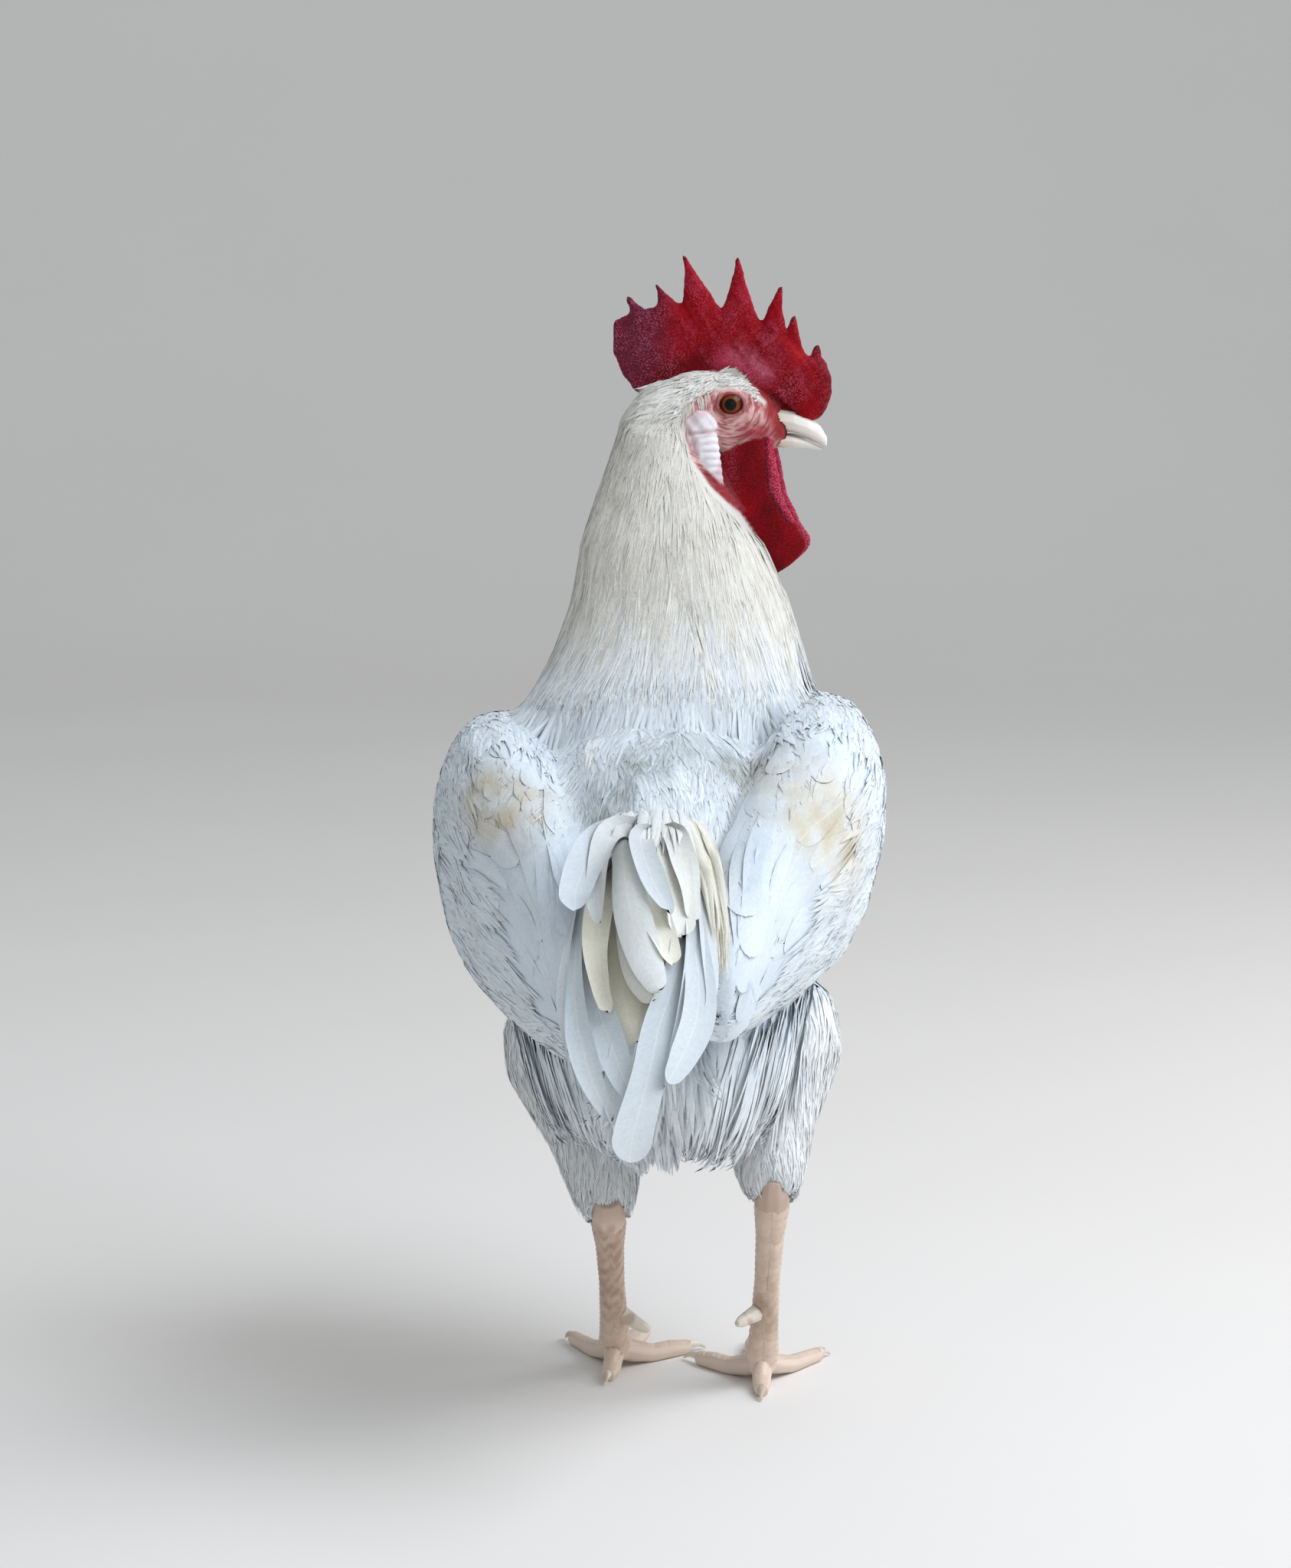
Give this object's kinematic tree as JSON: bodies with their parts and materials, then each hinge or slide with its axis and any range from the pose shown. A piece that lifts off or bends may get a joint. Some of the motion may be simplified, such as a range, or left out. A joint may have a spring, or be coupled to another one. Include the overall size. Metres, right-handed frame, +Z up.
{
  "type": "rooster",
  "caption": "Life-size standing white rooster with a red single comb and wattles, looking over its shoulder, with folded wings and a low drooping tail.",
  "frame": {"origin": "on the floor, under the middle of the bird's box", "axes": "+Z up, +Y the way the bird's body faces, +X to its right"},
  "size_m": [0.2166, 0.3954, 0.5471],
  "materials": {
    "plumage": "soft white feathers, slightly bluish on the back and creamy on the neck",
    "face_skin": "wrinkled pink and red bare skin",
    "comb_skin": "fine grained crimson skin with a soft sheen",
    "earlobe_skin": "wrinkled white skin",
    "leg_scales": "pale pinkish horn scales, brown at the back",
    "horn": "smooth pale horn",
    "eye": "glossy orange-brown eye with a black pupil"
  },
  "bodies": {
    "root": {"trunk": "plumage", "neck": "plumage", "head": "face_skin", "tail": "plumage", "comb": "comb_skin", "beak_upper": "horn", "beak_lower": "horn", "earlobe_left": "earlobe_skin", "earlobe_right": "earlobe_skin", "wattle_left": "comb_skin", "wattle_right": "comb_skin", "eye_left": "eye", "eye_right": "eye", "wing_left": "plumage", "wing_right": "plumage", "thigh_left": "plumage", "thigh_right": "plumage", "shank_left": "leg_scales", "shank_right": "leg_scales", "foot_left": "leg_scales", "foot_right": "leg_scales", "spur_left": "horn", "spur_right": "horn", "claw_left_inner": "horn", "claw_left_middle": "horn", "claw_left_outer": "horn", "claw_left_hind": "horn", "claw_right_inner": "horn", "claw_right_middle": "horn", "claw_right_outer": "horn", "claw_right_hind": "horn"}
  },
  "joints": []
}
